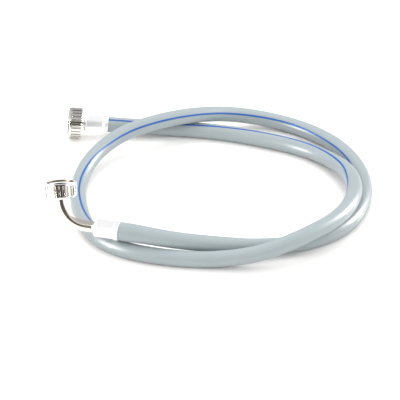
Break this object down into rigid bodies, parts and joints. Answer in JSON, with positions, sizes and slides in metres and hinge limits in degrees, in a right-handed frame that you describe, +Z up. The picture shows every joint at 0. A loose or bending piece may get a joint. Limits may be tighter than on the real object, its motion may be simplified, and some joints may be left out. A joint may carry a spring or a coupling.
{
  "type": "washing machine inlet hose",
  "caption": "Grey PVC water inlet hose with a blue stripe, loosely coiled, with a straight and an elbow end, each with a ribbed 3/4 inch swivel nut.",
  "frame": {"origin": "on the floor under the middle of the whole coiled hose's box", "axes": "+Z up from the floor; +X from the two fittings towards the far side of the coil; +Y from the elbow end towards the straight end"},
  "size_m": [0.3259, 0.2944, 0.0727],
  "materials": {
    "grey_pvc": "satin",
    "blue_stripe": "satin",
    "clear_liner": "satin",
    "polyester_yarn": "matte",
    "nickel_plate": "polished",
    "crimped_steel": "satin",
    "pale_rubber": "matte"
  },
  "bodies": {
    "hose": {"hose_cover": "grey_pvc", "hose_stripe": "blue_stripe", "hose_liner": "clear_liner", "hose_braid": "polyester_yarn", "straight_tail": "nickel_plate", "straight_ferrule": "crimped_steel", "elbow_tube": "nickel_plate", "elbow_collar": "nickel_plate", "elbow_ferrule": "crimped_steel"},
    "straight_washer": {"straight_gasket": "pale_rubber"},
    "straight_coupling": {"straight_nut": "nickel_plate"},
    "elbow_washer": {"elbow_gasket": "pale_rubber"},
    "elbow_coupling": {"elbow_nut": "nickel_plate"}
  },
  "joints": [
    {"name": "straight_nut_spin", "type": "hinge", "parent": "hose", "child": "straight_washer", "pos_m": [-0.15086, 0.11806, 0.01721], "axis": [-0.9924, -0.0631, 0.106], "continuous": true},
    {"name": "straight_nut_slide", "type": "slide", "parent": "straight_washer", "child": "straight_coupling", "axis": [-0.9924, -0.0631, 0.106], "range_m": [-0.0008, 0]},
    {"name": "elbow_nut_spin", "type": "hinge", "parent": "hose", "child": "elbow_washer", "pos_m": [-0.14901, -0.08937, 0.06714], "axis": [-0.0537, 0.3636, 0.93], "continuous": true},
    {"name": "elbow_nut_slide", "type": "slide", "parent": "elbow_washer", "child": "elbow_coupling", "axis": [-0.0537, 0.3636, 0.93], "range_m": [0, 0.006]}
  ]
}
